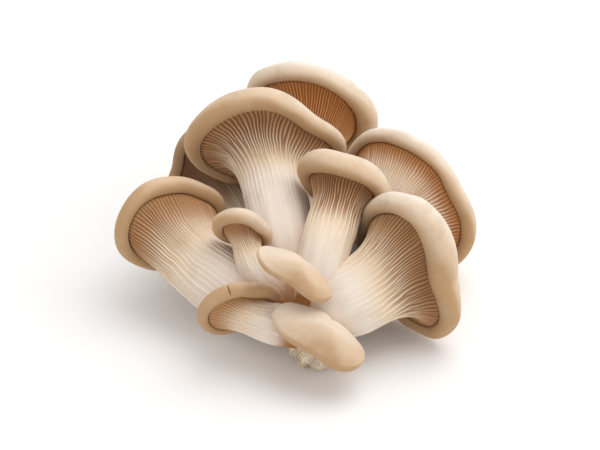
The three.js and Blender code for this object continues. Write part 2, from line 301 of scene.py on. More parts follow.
@dataclass(frozen=True)
class Mushroom:
    """The shape of one mushroom, in the drawing's frame and in millimetres.

    The stem is bent from root through bend to heart. The cap's rolled rim is given by its reach from the
    centre and its lift along the axis, at equal turns that start on the side nearest the viewer. The last
    values colour it, mostly with painted light and shade. For the gills, warmth paints an amber glow of light;
    age paints the shadow of a cap lying over it, on cap and gills; dry paints shade at the
    stem's root; pale sets where the gills' painted shade towards the rim begins, and shade how dark the
    painted shade in their valleys is. For the cap, tone shifts its colour, painted_shade_lean paints shade
    towards one end, and crown_darkening makes its crown darker.
    """

    name: str
    root: Point
    bend: Point
    heart: Point
    root_radius: float
    neck_radius: float
    neck_at: float
    centre: Point
    axis: Point
    crown: float
    reach: Sequence[float]
    roll: Sequence[float]
    lift: Sequence[float] = (0.0,)
    flesh: float = 5.0
    near: Point = (0.0, 0.0, 1.0)
    slim: float = 1.0
    rim_top: float = RIM_TOP
    funnel: Sequence[float] = (FUNNEL,)
    gills: int = 60
    gill_height: float = 0.9
    # Painted light: an amber glow of light in the gills' valleys and near the rim.
    warmth: float = 0.3
    # Painted shadow, on cap and gills, of a cap lying over this one.
    age: float = 0.0
    # Where the gills' painted shade towards the rim begins.
    pale: float = 0.0
    # Painted shade at the stem's root, where stems crowd.
    dry: float = 0.0
    tone: float = 0.0
    shade: float = 1.0
    # Painted shade, darker towards the cap's lower end.
    painted_shade_lean: float = 0.0
    # How much darker the crown is.
    crown_darkening: float = 0.45
    split_turn: float | None = None

    @property
    def up(self) -> np.ndarray:
        """The cap's axis, towards its top."""
        return unit(np.array(self.axis))

    @property
    def sideways(self) -> tuple[np.ndarray, np.ndarray]:
        """The directions across the axis: to the near rim, and a quarter turn on."""
        near = np.array(self.near)
        first = unit(near - near.dot(self.up) * self.up)
        return first, np.cross(self.up, first)

    @property
    def top(self) -> np.ndarray:
        """The cap's highest point along its axis."""
        return np.array(self.centre) + self.crown * self.up

    @property
    def under_pole(self) -> np.ndarray:
        """The middle of the cap's underside."""
        return self.top - self.flesh * self.up

    def turns(self, count: int) -> np.ndarray:
        """Spreads columns evenly round the rim, also on a slim cap."""
        angle = np.arange(count) / count * FULL_TURN
        return np.arctan2(self.slim * np.sin(angle), np.cos(angle))

    def rim(self, turns: np.ndarray) -> np.ndarray:
        """Gives the middle line of the rolled rim.

        Args:
            turns: Angles round the axis, in radians.

        Returns:
            A point for each turn.
        """
        first, second = self.sideways
        reach = around_turn(self.reach, turns)[:, None]
        lift = around_turn(self.lift, turns)[:, None]
        spoke = np.cos(turns)[:, None] * first + np.sin(turns)[:, None] * second
        return np.array(self.centre) + reach * spoke + lift * self.up

    def rim_axes(self, turns: np.ndarray) -> tuple[np.ndarray, np.ndarray]:
        """Gives the rim's own directions, square to its line.

        Args:
            turns: Angles round the axis, in radians.

        Returns:
            The directions out of the rim, and those to its top.
        """
        along = unit(self.rim(turns + TINY_TURN) - self.rim(turns - TINY_TURN))
        top = unit(self.up - (along @ self.up)[:, None] * along)
        return np.cross(along, top), top

    def round_rim(self, turns: np.ndarray, degrees: float, clearance: float = 0.0) -> np.ndarray:
        """Gives a line along the rolled rim.

        Args:
            turns: Angles round the axis, in radians.
            degrees: The place on the roll: 0 is outwards and 90 is the top.
            clearance: The distance off its surface.

        Returns:
            A point for each turn.
        """
        angle = math.radians(degrees)
        out, top = self.rim_axes(turns)
        radius = (around_turn(self.roll, turns) + clearance)[:, None]
        return self.rim(turns) + radius * (math.cos(angle) * out + math.sin(angle) * top)

    def to_pole(self, start: np.ndarray, pole: np.ndarray, share: float) -> np.ndarray:
        """Follows the curves from the rim to a pole, steep at the rim and level at the pole.

        Args:
            start: The points at the rim.
            pole: The point where the curves meet.
            share: How far along them, from 0 to 1.

        Returns:
            A point on each curve.
        """
        span = pole - start
        height = (span @ self.up)[:, None]
        flat = span - height * self.up
        shoulder = start + SHOULDER_IN * flat + SHOULDER_UP * height * self.up
        level = pole - CROWN_LEVEL * flat
        return bezier((start, shoulder, level, np.broadcast_to(pole, start.shape)), share)

    def stalk_point(self, share: float) -> tuple[np.ndarray, np.ndarray]:
        """Follows the stem's axis.

        Args:
            share: How far along it, from 0 at the root to 1 at the heart.

        Returns:
            The point and the direction there.
        """
        root, bend, heart = (np.array(p) for p in (self.root, self.bend, self.heart))
        point = (1 - share) ** 2 * root + 2 * (1 - share) * share * bend + share**2 * heart
        return point, unit((1 - share) * (bend - root) + share * (heart - bend))

    def stalk_ring(self, turns: np.ndarray, share: float, radius: float) -> np.ndarray:
        """Gives a ring round the stem.

        Args:
            turns: Angles round the axis, in radians.
            share: How far along the stem, from 0 to 1.
            radius: The ring's radius.

        Returns:
            A point for each turn.
        """
        point, along = self.stalk_point(share)
        first = self.sideways[0]
        near = unit(first - first.dot(along) * along)
        spoke = np.cos(turns)[:, None] * near + np.sin(turns)[:, None] * np.cross(along, near)
        return point + radius * spoke

    def flare(self, turns: np.ndarray, share: float) -> np.ndarray:
        """Gives the gill surface, which opens from the stem's neck to the groove inside the rim.

        Args:
            turns: Angles round the axis, in radians.
            share: How far along it, from 0 at the neck to 1 at the groove.

        Returns:
            A point for each turn.
        """
        start = self.stalk_ring(turns, self.neck_at, self.neck_radius)
        end = self.round_rim(turns, GROOVE, GAP)
        length = FLARE_PULL * np.linalg.norm(end - start, axis=1, keepdims=True)
        rise = start + length * self.stalk_point(self.neck_at)[1]
        funnel = around_turn(self.funnel, turns)[:, None]
        arriving = unit((1 - funnel) * self.rim_axes(turns)[0] + funnel * unit(end - start))
        arrive = end - length * arriving
        return bezier((start, rise, arrive, end), share)


CLUSTER = (
    Mushroom(
        "tall", root=(1, -6, -4), bend=(-7, 26, -12), heart=(-13, 56, -38),
        root_radius=11, neck_radius=13, neck_at=0.78,
        centre=(-13.5, 60, -42), axis=(-0.12, 0.84, -0.53), crown=13,
        reach=(36.2, 27, 29.8, 29.2, 25.7, 21.5, 28.8, 34.8),
        roll=(4.8, 4, 3.4, 3, 2.8, 2.6, 3, 4.4), lift=(2.5, -1, -2, -1.5, -1, -0.5, 1.5, 2),
        funnel=(0.3, 0.6, 0.6, 0.3, 0.1, 0.05, 0.05, 0.15), gills=88, gill_height=1.0,
        warmth=0.2, pale=0.1, dry=0.3, tone=-0.05, shade=0.85,
    ),
    Mushroom(
        "rear", root=(3, -2, -14), bend=(4, 28, -62), heart=(3, 70, -74),
        root_radius=8, neck_radius=9, neck_at=0.6,
        centre=(5, 78, -78), axis=(0.3, 0.75, -0.58), crown=11,
        reach=(25.2, 25.2, 23.6, 22.8, 22.5, 24.5, 26.6, 25.2),
        roll=(4.2, 4.6, 4.2, 3.4, 3, 3, 3.4, 3.9), lift=(0.5, 0.5, 0, 0, 0, 0, 0.5, 0),
        gills=92, warmth=0.9, tone=0.25, painted_shade_lean=0.35,
    ),
    Mushroom(
        "right_rear", root=(6, -4, -9), bend=(20, 16, -25), heart=(38, 36, -42),
        root_radius=8, neck_radius=9, neck_at=0.55,
        centre=(44, 42.5, -46.5), axis=(0.62, 0.45, -0.64), crown=9,
        reach=(28, 27.5, 31.3, 33.2, 33, 30.3, 27.9, 27.5, 27.9, 28.4, 28.9, 29.2, 28.8, 27.5, 26.3, 26.8),
        roll=(3.2, 3.1, 2.8, 2.6, 2.6, 2.6, 2.8, 3),
        gills=104, warmth=0.9, pale=0.75, tone=0.2, shade=0.7, painted_shade_lean=0.4,
    ),
    Mushroom(
        "middle", root=(4, -5, 0), bend=(10, 24, 3), heart=(17.5, 44, -10),
        root_radius=9, neck_radius=10.3, neck_at=0.6,
        centre=(17, 46, -12), axis=(0.27, 0.82, -0.5), crown=9,
        reach=(15.8, 16.6, 17.2, 17, 16.7, 14.4, 16, 16.5),
        roll=(4.9, 4.5, 3.6, 3, 2.8, 2.6, 3.2, 4.7), lift=(0, 0.5, 0, -0.5, -1, -0.5, 1, 0.5),
        gills=58, gill_height=0.8, warmth=0.25, pale=-0.35, dry=0.15, tone=0.05,
    ),
    Mushroom(
        "right", root=(6, -7, 1), bend=(24, 1, 2), heart=(41, 12, -1),
        root_radius=11.5, neck_radius=15, neck_at=0.45,
        centre=(43.5, 15.3, -4), axis=(0.68, 0.48, -0.555), crown=10,
        reach=(23.9, 19.9, 18.6, 22.3, 28.6, 32, 31, 29.5, 27.5, 26, 24.5, 23.8, 25.3, 26.8, 28.5, 28.5),
        roll=(6, 6.2, 5.9, 5.2, 4.2, 3.4, 3, 3, 3, 3, 3, 3.2, 3.6, 4.2, 5, 5.6),
        funnel=(0.8, 0.7, 0.5, 0.2, 0.2, 0.5, 0.7, 0.8), gills=80,
        warmth=0.25, pale=0.02, dry=0.05, tone=0.08, shade=0.75, painted_shade_lean=0.5,
    ),
    Mushroom(
        "left", root=(-1, -7, -5), bend=(-31, 0, -8), heart=(-48, 25, -20),
        root_radius=10.5, neck_radius=14.5, neck_at=0.47,
        centre=(-52.5, 29.5, -23.5), axis=(-0.66, 0.43, -0.62), crown=10,
        reach=(24.9, 19.9, 18.1, 22, 19, 17.5, 18, 22.9),
        roll=(3.4, 3.4, 3, 2.6, 2.4, 2.2, 2.3, 2.9), lift=(2.5, 0, -1.5, -3.5, -2, -0.5, 1, 3.5),
        funnel=(0.65, 0.6, 0.65, 0.8, 0.9, 1, 1, 0.9), gills=78, gill_height=0.75,
        warmth=0.35, pale=0.4, tone=-0.33, shade=0.65,
    ),
    Mushroom(
        "button", root=(0, -6, -5), bend=(-20, 9, 5), heart=(-22.5, 26, 2),
        root_radius=6, neck_radius=6.5, neck_at=0.6,
        centre=(-23.5, 28, 0.5), axis=(0.12, 0.9, -0.42), crown=6, flesh=3,
        reach=(12.6, 9.3, 10.2, 12, 10.5, 9.8, 9.2, 10.8), roll=(2.8, 2.6, 2.4, 2.2, 2.2, 2.2, 2.4, 2.7),
        gills=44, gill_height=0.6, warmth=0.4, pale=0.3, dry=0.55, tone=0.15, shade=0.75,
    ),
    Mushroom(
        "front_left", root=(0, -12, 2), bend=(-12, -10, 7), heart=(-22, -4, 6),
        root_radius=7.5, neck_radius=8.3, neck_at=0.4,
        centre=(-23.5, -2, 5), axis=(-0.4, 0.75, -0.53), crown=7, flesh=3.5,
        reach=(12.8, 9.6, 13.2, 13.5, 13, 15.4, 16, 16.6),
        roll=(3, 3, 2.8, 2.4, 2, 1.9, 1.9, 2.6), lift=(0, -0.5, -2, -1.5, 0, 0, 0, 0),
        gills=48, gill_height=0.5, warmth=0.4, pale=0.35, dry=0.75, tone=-0.42, shade=0.55,
        split_turn=-7,
    ),
    Mushroom(
        "folded", root=(1, -2, 8), bend=(0, 5, 13), heart=(-2, 9, 18),
        root_radius=4, neck_radius=0.8, neck_at=0.5,
        centre=(-2, 10.5, 22), axis=(0.47, 0.7, 0.54), crown=6.5, flesh=3,
        reach=(14.5, 12, 6.8, 4.4, 3.7, 4.4, 6.8, 12, 14.5, 12, 6.8, 4.4, 3.7, 4.4, 6.8, 12), roll=(2.5,),
        near=(-0.86, 0.5, 0), slim=0.33, rim_top=25, funnel=(1,), gills=30, gill_height=0.1,
        dry=1, tone=-0.1, painted_shade_lean=0.35, crown_darkening=0,
    ),
    Mushroom(
        "front", root=(3, -10, 8), bend=(5, -13, 11), heart=(7, -14, 14),
        root_radius=5, neck_radius=1, neck_at=0.5,
        centre=(7, -14.2, 15.5), axis=(0.4, 0.62, 0.67), crown=10, flesh=3.5,
        reach=(17, 14, 8.8, 6.8, 6.2, 6.8, 8.8, 14.5, 17.5, 14.8, 7.8, 4.7, 5, 7, 9.8, 14.5), roll=(3.4,),
        near=(-0.86, 0.5, 0), slim=0.45, rim_top=25, funnel=(1,), gills=30, gill_height=0.1,
        dry=1, tone=0.1, painted_shade_lean=0.45, crown_darkening=0,
    ),
    Mushroom(
        "left_rear", root=(-1, -1, -12), bend=(-16, 28, -50), heart=(-34, 50, -68),
        root_radius=7, neck_radius=8, neck_at=0.6,
        centre=(-39, 57.5, -70), axis=(-0.6, 0.6, -0.5), crown=8,
        reach=(20.5, 21, 20.4, 21.4, 23, 26.5, 22, 16.5), roll=(2.4,), lift=(2, 1, 0, 0, 0, 0, 0, 0.5),
        # Painted shadow: this one lies in the shadow of the tall cap.
        gills=80, gill_height=0.8, warmth=0.1, age=0.85,
    ),
)


@dataclass(frozen=True)
class Finish:
    """A soft, slightly translucent flesh.

    It holds its colours, the sizes of its patterns in millimetres, how finely they break up, and the spans
    over which one colour gives way to the next. A span of four values also says what it maps to, where that
    isn't 0 to 1.
    """

    name: str
    roughness: float
    subsurface: float
    scatter_mm: float
    bump_strength: float
    bump_mm: float
    colours: dict[str, str]
    pattern_mm: dict[str, float]
    pattern_detail: dict[str, float]
    spans: dict[str, tuple[float, ...]]
    ior: float = 1.4
    scatter_tint: Point = (1.0, 0.55, 0.3)

    def material(self) -> tuple[bpy.types.Material, bpy.types.Node]:
        """Starts the material with what is the same all over.

        Returns:
            The material and its main shader node.
        """
        material = bpy.data.materials.new(self.name)
        material.use_nodes = True
        shader = material.node_tree.nodes["Principled BSDF"]
        shader.inputs["Roughness"].default_value = self.roughness
        shader.inputs["IOR"].default_value = self.ior
        shader.inputs["Subsurface Weight"].default_value = self.subsurface
        shader.inputs["Subsurface Radius"].default_value = self.scatter_tint
        shader.inputs["Subsurface Scale"].default_value = self.scatter_mm * MM
        return material, shader

    def palette(self) -> dict[str, Colour]:
        """Gives each colour in linear RGBA."""
        return {name: linear(value) for name, value in self.colours.items()}

    def patterns(self, tree: bpy.types.NodeTree) -> dict[str, bpy.types.Node]:
        """Makes the finish's noise patterns, each as coarse as its size.

        Args:
            tree: The material's node tree.

        Returns:
            A node for each pattern.
        """
        place = add_node(tree, "ShaderNodeTexCoord").outputs["Object"]
        return {
            name: add_node(
                tree, NOISE,
                {"Vector": place, "Scale": 1 / (size * MM), "Detail": self.pattern_detail[name]},
            )
            for name, size in self.pattern_mm.items()
        }

    def shares(self, tree: bpy.types.NodeTree, sources: dict[str, Any]) -> dict[str, bpy.types.Node]:
        """Maps values smoothly over the finish's spans.

        Args:
            tree: The node tree that gets the nodes.
            sources: The node or socket with the value, for each span by its name.

        Returns:
            A node for each span.
        """
        return {
            name: add_node(
                tree, SPAN, {"Value": source, **dict(zip(SPAN_LIMITS, self.spans[name]))},
                interpolation_type="SMOOTHSTEP",
            )
            for name, source in sources.items()
        }

    def emboss(self, tree: bpy.types.NodeTree, height: bpy.types.Node, shader: bpy.types.Node) -> None:
        """Gives the shader a fine relief from a height."""
        bump = {"Height": height, "Strength": self.bump_strength, "Distance": self.bump_mm * MM}
        tree.links.new(add_node(tree, "ShaderNodeBump", bump).outputs[0], shader.inputs["Normal"])


def layered(tree: bpy.types.NodeTree, ground: Any, layers: Sequence[tuple[Any, Any]]) -> bpy.types.NodeSocket:
    """Lays colours over a ground, one after another.

    Args:
        tree: The node tree that gets the nodes.
        ground: The first colour.
        layers: For each layer, its share and its colour.

    Returns:
        The socket of the last colour.
    """
    colour = ground
    for share, over in layers:
        mixed = add_node(tree, "ShaderNodeMix", {0: share, 6: colour, 7: over}, data_type="RGBA")
        colour = mixed.outputs[2]
    return colour


# Fresh cap cuticle: a smooth thin skin over soft flesh, so it has a broad satin sheen. It is mottled, and
# painted with light and shade: tan, rim, pale and white are shaded and lit copies of one skin, paler where it
# faces the painted light and white as a painted highlight. The inner and groove colours are painted shade
# where the rim turns under to the gills, the split colour is painted shade in the rim's crack, and one dark
# brown paints the shadow of a cap lying over another.
CAP_SKIN = Finish(
    "cap_cuticle", roughness=0.6, subsurface=0.05, scatter_mm=1.0, bump_strength=0.3, bump_mm=0.3,
    colours={
        "tan": "#ba956c", "rim": "#d6bb9d", "pale": "#e0cdb7", "white": "#eadfd0", "inner": "#b3926c",
        "groove": "#75583d", "dull": "#bda48a", "split": "#5a3d26", "old": "#7d5d41",
    },
    pattern_mm={"blotch": 14, "fleck": 2.2, "dull": 7, "grain": 0.9},
    pattern_detail={"blotch": 4, "fleck": 4, "dull": 3, "grain": 5},
    spans={
        "rim": (0.1, 0.5), "pale": (0.5, 0.9), "white": (0.9, 1.3), "fleck": (0.5, 0.75, 0.0, 0.12),
        "dull": (0.48, 0.7, 0.0, 0.35), "dull_rim": (0.6, 1.1, 0.3, 1.0), "inner": (1.5, 1.85, 0.0, 0.6),
        "groove": (1.88, 2.05),
    },
)
# Gill flesh: thin cream blades, pale at their edges, with painted shade: warm brown in the valleys between
# them, tan towards the rim and brown at the roots of shaded stems. The amber in the valleys is painted light.
GILL_FLESH = Finish(
    "gill_flesh", roughness=0.7, subsurface=0.1, scatter_mm=1.2, bump_strength=0.2, bump_mm=0.3,
    colours={
        "stalk": "#e8dbce", "blade": "#ecd9c0", "tan": "#b38c64", "fold": "#dec4a2", "valley": "#7b5738",
        "amber": "#a86426", "honey": "#c98f52", "old": "#6e4d34", "dry": "#a06c3a",
    },
    pattern_mm={"blotch": 9}, pattern_detail={"blotch": 3},
    spans={
        "rimward": (0.35, 0.95), "blade": (-0.1, 0.35), "deep": (0.0, 0.75), "valley": (0.1, 0.95),
        "streak": (0.5, 0.8, 0.0, 0.25), "blotch": (0.5, 0.8, 0.0, 0.15), "shadow_amount": (0.0, 0.45, 0.4, 1.0),
        "dry": (0.6, 1.3),
    },
)
# Torn flesh: matte white fibres pulled apart, browner where they have dried.
TORN_FLESH = Finish(
    "torn_flesh", roughness=0.85, subsurface=0.15, scatter_mm=1.5, bump_strength=0.6, bump_mm=0.5,
    colours={"pale": "#efe0ca", "dry": "#c9a67c"},
    pattern_mm={"patch": 5, "crumb": 0.8}, pattern_detail={"patch": 5, "crumb": 5},
    spans={"dry": (0.45, 0.7, 0.0, 0.8)},
)


def cap_material() -> bpy.types.Material:
    """Makes the cap cuticle: tan, with painted light that makes it paler where it faces the light, and painted
    shade that makes it brown where the rim turns to the gills.

    Returns:
        The material.
    """
    uneven, grainy, shadow_strength = 0.5, 0.5, 0.6
    material, shader = CAP_SKIN.material()
    tree = material.node_tree
    colour, pattern = CAP_SKIN.palette(), CAP_SKIN.patterns(tree)
    sky, across, age, split = (
        add_node(tree, "ShaderNodeAttribute", attribute_name=f"cap_{name}").outputs["Fac"]
        for name in ("bloom", "across", "age", "split")
    )
    # Painted light and shade: with the mottled tone, it moves the skin from tan through rim and pale to white,
    # shaded and lit copies of one skin.
    mottle = add_node(tree, MATH, (pattern["blotch"], NOISE_MEAN), operation="SUBTRACT")
    bloom = add_node(tree, MATH, (mottle, uneven, sky), operation="MULTIPLY_ADD")
    share = CAP_SKIN.shares(tree, {
        "rim": bloom, "pale": bloom, "white": bloom, "fleck": pattern["fleck"], "dull": pattern["dull"],
        "dull_rim": across, "inner": across, "groove": across,
    })
    dulled = add_node(tree, MATH, (share["dull"], share["dull_rim"]), operation="MULTIPLY")
    # Painted shadow of a cap lying over this one.
    shadow_amount = add_node(tree, MATH, (age, shadow_strength), operation="MULTIPLY")
    # Inner and groove paint shade where the rim turns under to the gills, and split paints shade in the crack.
    skin = layered(tree, colour["tan"], [
        (share["rim"], colour["rim"]), (share["pale"], colour["pale"]), (share["white"], colour["white"]),
        (share["fleck"], colour["tan"]), (dulled, colour["dull"]), (share["inner"], colour["inner"]),
        (share["groove"], colour["groove"]), (shadow_amount, colour["old"]), (split, colour["split"]),
    ])
    tree.links.new(skin, shader.inputs["Base Color"])
    relief = add_node(tree, MATH, (pattern["grain"], grainy, pattern["fleck"]), operation="MULTIPLY_ADD")
    CAP_SKIN.emboss(tree, relief, shader)
    return material


def gill_material() -> bpy.types.Material:
    """Makes the gill flesh: a cream stem and gills with pale edges, with painted shade that turns them tan
    towards the rim and brown in the valleys and at the root, painted amber light in the valleys, and a painted
    shadow where a cap lies over them.

    Returns:
        The material.
    """
    honeyed, streak_size, streak_detail = 0.7, 1.0, 4.0
    material, shader = GILL_FLESH.material()
    tree = material.node_tree
    colour, pattern = GILL_FLESH.palette(), GILL_FLESH.patterns(tree)
    along, pale, depth, shade, warmth, age, dry = (
        add_node(tree, "ShaderNodeAttribute", attribute_name=f"gill_{name}").outputs["Fac"]
        for name in ("run", "pale", "valley", "shade", "warmth", "age", "dry")
    )
    fibre = add_node(tree, "ShaderNodeAttribute", attribute_name="stem_fibre").outputs["Vector"]
    streak = add_node(tree, NOISE, {"Vector": fibre, "Scale": 1 / streak_size, "Detail": streak_detail})
    # Painted shade: past the pale share of the run, the gills turn tan towards the rim.
    past_pale = add_node(tree, MATH, (along, pale), operation="SUBTRACT")
    after_pale = add_node(tree, MATH, (1.0, pale), operation="SUBTRACT")
    run = add_node(tree, MATH, (past_pale, after_pale), operation="DIVIDE")
    # Painted shade in the valleys between the gills.
    valley = add_node(tree, MATH, (depth, shade), operation="MULTIPLY")
    # Painted shade at the stem's root.
    rooted = add_node(tree, MATH, (dry, along), operation="SUBTRACT")
    share = GILL_FLESH.shares(tree, {
        "rimward": run, "blade": run, "deep": run, "valley": valley, "streak": streak,
        "blotch": pattern["blotch"], "shadow_amount": run, "dry": rooted,
    })
    # Painted light: an amber glow in the valleys and near the rim.
    honey = add_node(tree, MATH, (warmth, honeyed), operation="MULTIPLY")
    # Painted shadow of a cap lying over these gills.
    shadow_amount = add_node(tree, MATH, (share["shadow_amount"], age), operation="MULTIPLY")
    rimward = layered(tree, colour["tan"], [(honey, colour["honey"])])
    blade = layered(tree, colour["blade"], [(share["rimward"], rimward)])
    warm = layered(tree, colour["valley"], [(warmth, colour["amber"])])
    deep = layered(tree, colour["fold"], [(share["deep"], warm)])
    flesh = layered(tree, colour["stalk"], [
        (share["blade"], blade), (share["valley"], deep), (share["streak"], colour["tan"]),
        (share["blotch"], colour["tan"]), (shadow_amount, colour["old"]), (share["dry"], colour["dry"]),
    ])
    tree.links.new(flesh, shader.inputs["Base Color"])
    GILL_FLESH.emboss(tree, streak, shader)
    return material


def torn_material() -> bpy.types.Material:
    """Makes the torn flesh: pale and matte, with dried brown patches and a crumbly surface.

    Returns:
        The material.
    """
    material, shader = TORN_FLESH.material()
    tree = material.node_tree
    colour, pattern = TORN_FLESH.palette(), TORN_FLESH.patterns(tree)
    share = TORN_FLESH.shares(tree, {"dry": pattern["patch"]})
    flesh = layered(tree, colour["pale"], [(share["dry"], colour["dry"])])
    tree.links.new(flesh, shader.inputs["Base Color"])
    TORN_FLESH.emboss(tree, pattern["crumb"], shader)
    return material


def tree_with_inputs(name: str, sockets: dict[str, str]) -> tuple[bpy.types.NodeTree, bpy.types.Node]:
    """Starts a Geometry Nodes tree with named inputs.

    Args:
        name: The tree's name.
        sockets: Each extra input's name and socket type.

    Returns:
        The tree and its input node.
    """
    tree = bpy.data.node_groups.new(name, "GeometryNodeTree")
    tree.interface.new_socket("Geometry", in_out="INPUT", socket_type="NodeSocketGeometry")
    for label, kind in sockets.items():
        tree.interface.new_socket(label, in_out="INPUT", socket_type=kind)
    tree.interface.new_socket("Geometry", in_out="OUTPUT", socket_type="NodeSocketGeometry")
    return tree, add_node(tree, "NodeGroupInput")


def finish_tree(
    tree: bpy.types.NodeTree,
    geometry: bpy.types.Node,
    material: bpy.types.NodeSocket,
) -> None:
    """Ends a tree: instances made real, and one material on everything.

    Args:
        tree: The tree to end.
        geometry: The node that gives the shape.
        material: The input socket with the material.
    """
    real = add_node(tree, "GeometryNodeRealizeInstances", {"Geometry": geometry})
    dressed = add_node(tree, "GeometryNodeSetMaterial", {"Geometry": real, "Material": material})
    add_node(tree, "NodeGroupOutput", (dressed,))


def gill_tree() -> bpy.types.NodeTree:
    """Builds the tree that raises gills on a stem.

    Each gill is a blade that follows the surface from the stem to the rim. Every other gill is a short one
    that starts partway up, as on the real cap.

    Returns:
        The tree.
    """
    number, whole = "NodeSocketFloat", "NodeSocketInt"
    tree, given = tree_with_inputs("raise_gills", {
        "Gill Count": whole, "Gill Height": number, "Sharpness": number, "Valley Share": number,
        "Wobble": number, "Wobble Size": number, "Seed": whole,
        "Material": "NodeSocketMaterial",
    })
    put = given.outputs
    phase, run = (
        add_node(tree, "GeometryNodeInputNamedAttribute", {"Name": name}, data_type="FLOAT")
        for name in ("gill_phase", "gill_run")
    )
    place = add_node(tree, "GeometryNodeInputPosition")
    detail = add_node(tree, MATH, (1.0, put["Wobble Size"]), operation="DIVIDE")
    drift = add_node(tree, NOISE, {"Vector": place, "Scale": detail, "Detail": 1.0})
    sway = add_node(tree, MATH, (drift, NOISE_MEAN), operation="SUBTRACT")
    moved = add_node(tree, MATH, (sway, put["Wobble"], phase), operation="MULTIPLY_ADD")

    # The crest: how near a point is to the edge of its gill.
    nearest = add_node(tree, MATH, (moved,), operation="ROUND")
    aside = add_node(tree, MATH, (moved, nearest), operation="SUBTRACT")
    offset = add_node(tree, MATH, (aside, FULL_TURN), operation="MULTIPLY")
    cosine = add_node(tree, MATH, (offset,), operation="COSINE")
    wave = add_node(tree, MATH, (cosine, 0.5, 0.5), operation="MULTIPLY_ADD")
    crest = add_node(tree, MATH, (wave, put["Sharpness"]), operation="POWER")

    # Where each gill starts, with its own chance.
    number_of = add_node(tree, MATH, (nearest, put["Gill Count"]), operation="FLOORED_MODULO")
    draw = add_node(tree, MATH, (number_of, put["Seed"]), operation="ADD")
    chance = add_node(tree, "ShaderNodeTexWhiteNoise", {"W": draw}, noise_dimensions="1D")
    is_short = add_node(tree, MATH, (number_of, 2.0), operation="FLOORED_MODULO")
    late = add_node(tree, MATH, (chance, SHORT_GILL_SPREAD, SHORT_GILL_DELAY), operation="MULTIPLY_ADD")
    start = add_node(tree, MATH, (is_short, late, LONG_GILL_START), operation="MULTIPLY_ADD")
    full_from = add_node(tree, MATH, (start, GILL_START_LENGTH), operation="ADD")

    # How high it stands along its run.
    begun, rise, fall = (
        add_node(tree, SPAN, {"Value": run, **dict(zip(SPAN_LIMITS, limits))}, interpolation_type="SMOOTHSTEP")
        for limits in ((start, full_from), GILL_RISE, GILL_FALL)
    )
    envelope = add_node(tree, MATH, (rise, fall), operation="MULTIPLY")
    full = add_node(tree, MATH, (chance, HEIGHT_SPREAD, LEAST_HEIGHT), operation="MULTIPLY_ADD")
    edge = add_node(tree, MATH, (crest, begun), operation="MULTIPLY")
    blade = add_node(tree, MATH, (edge, full), operation="MULTIPLY")
    above = add_node(tree, MATH, (blade, put["Valley Share"]), operation="SUBTRACT")
    lift = add_node(tree, MATH, (above, envelope), operation="MULTIPLY")
    height = add_node(tree, MATH, (lift, put["Gill Height"]), operation="MULTIPLY")
    normal = add_node(tree, "GeometryNodeInputNormal")
    push = add_node(tree, "ShaderNodeVectorMath", {0: normal, "Scale": height}, operation="SCALE")

    # The valleys are kept for the colours, which paint shade in them.
    hollow = add_node(tree, MATH, (1.0, blade), operation="SUBTRACT")
    valley = add_node(tree, MATH, (hollow, rise), operation="MULTIPLY")
    kept = add_node(
        tree, "GeometryNodeStoreNamedAttribute",
        {"Geometry": put["Geometry"], "Name": "gill_valley", "Value": valley},
        data_type="FLOAT", domain="POINT",
    )
    raised = add_node(tree, "GeometryNodeSetPosition", {"Geometry": kept, "Offset": push})
    finish_tree(tree, raised, put["Material"])
    return tree


def fray_tree() -> bpy.types.NodeTree:
    """Builds the tree that covers torn flesh with short frayed fibres.

    Returns:
        The tree.
    """
    number, whole = "NodeSocketFloat", "NodeSocketInt"
    tree, given = tree_with_inputs("fray", {
        "Density": number, "Fibre Length": number, "Fibre Radius": number, "Seed": whole,
        "Material": "NodeSocketMaterial",
    })
    put = given.outputs
    torn = add_node(tree, "GeometryNodeInputNamedAttribute", {"Name": "torn"}, data_type="FLOAT")
    density = add_node(tree, MATH, (torn, put["Density"]), operation="MULTIPLY")
    scattered = add_node(
        tree, "GeometryNodeDistributePointsOnFaces",
        {"Mesh": put["Geometry"], "Density": density, "Seed": put["Seed"]},
    )
    fibre = add_node(
        tree, "GeometryNodeMeshCone",
        {"Vertices": FIBRE_SIDES, "Side Segments": FIBRE_STEPS, "Depth": put["Fibre Length"],
         "Radius Top": add_node(tree, MATH, (put["Fibre Radius"], FIBRE_TIP), operation="MULTIPLY"),
         "Radius Bottom": put["Fibre Radius"]},
        fill_type="TRIANGLE_FAN",
    )
    loose = add_node(
        tree, "FunctionNodeRandomValue",
        {0: (-FIBRE_LEAN,) * 3, 1: (FIBRE_LEAN,) * 3, "Seed": put["Seed"]}, data_type="FLOAT_VECTOR",
    )
    heading = add_node(tree, "ShaderNodeVectorMath", (scattered.outputs["Normal"], loose), operation="ADD")
    turn = add_node(tree, "FunctionNodeAlignRotationToVector", {"Vector": heading}, axis="Z")
    least, most = FIBRE_SCALE
    size = add_node(
        tree, "FunctionNodeRandomValue", {2: least, 3: most, "Seed": put["Seed"]}, data_type="FLOAT"
    ).outputs[1]
    fibres = add_node(
        tree, "GeometryNodeInstanceOnPoints",
        {"Points": scattered.outputs["Points"], "Instance": fibre, "Rotation": turn, "Scale": size},
    )
    joined = add_node(tree, "GeometryNodeJoinGeometry", {0: put["Geometry"]})
    tree.links.new(fibres.outputs[0], joined.inputs[0])
    real = add_node(tree, "GeometryNodeRealizeInstances", {"Geometry": joined})

    # No fibre reaches under the table top.
    axes = add_node(tree, "ShaderNodeSeparateXYZ", (add_node(tree, "GeometryNodeInputPosition"),)).outputs
    height = add_node(tree, MATH, (axes[2], 0.0), operation="MAXIMUM")
    place = add_node(tree, "ShaderNodeCombineXYZ", (axes[0], axes[1], height))
    resting = add_node(tree, "GeometryNodeSetPosition", {"Geometry": real, "Position": place})
    finish_tree(tree, resting, put["Material"])
    return tree


